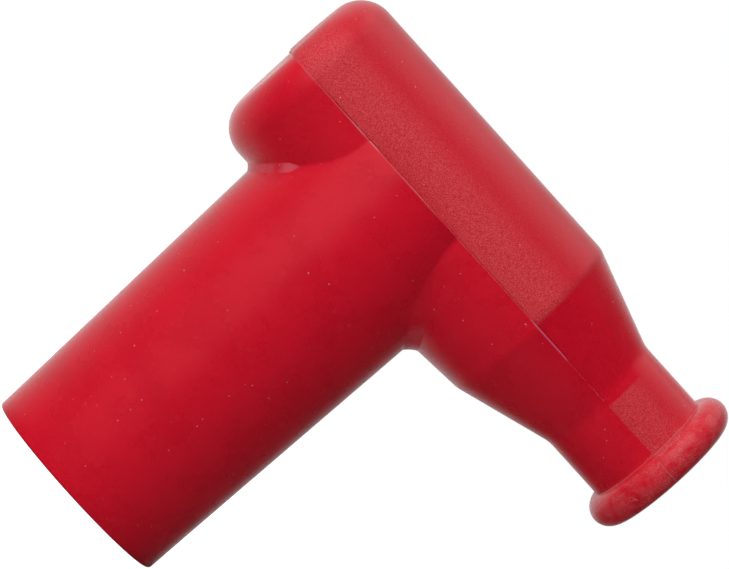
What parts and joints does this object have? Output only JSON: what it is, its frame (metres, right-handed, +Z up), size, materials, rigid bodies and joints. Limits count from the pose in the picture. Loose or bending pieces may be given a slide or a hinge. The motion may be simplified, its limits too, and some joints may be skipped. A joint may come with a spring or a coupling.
{
  "type": "spark plug cap",
  "caption": "Right-angle silicone spark plug cap with a suppressor resistor: a drafted plug leg under a round barrel that narrows to a lead neck with a rolled lip.",
  "frame": {"origin": "bottom centre of the overall box, on the plane of the plug mouth's rim", "axes": "+Z up the leg, away from the plug; +X along the arm towards the lead; +Y across"},
  "size_m": [0.0572, 0.0242, 0.055],
  "materials": {
    "silicone": "red moulded silicone, satin smooth on the leg and lower half, fine blasted grain on the upper half",
    "phenolic": "black moulded phenolic resin",
    "ceramic": "plain unglazed ceramic",
    "brass": "turned brass",
    "steel": "bright spring and sheet steel"
  },
  "bodies": {
    "root": {"boot": "silicone", "insert_body": "phenolic", "terminal_socket": "brass", "snap_clip": "steel", "contact_block": "brass", "resistor_rod": "ceramic", "resistor_cap_plug_side": "steel", "resistor_cap_lead_side": "steel", "lead_screw": "brass", "stack_spring": "steel", "end_plug": "brass"}
  },
  "joints": []
}
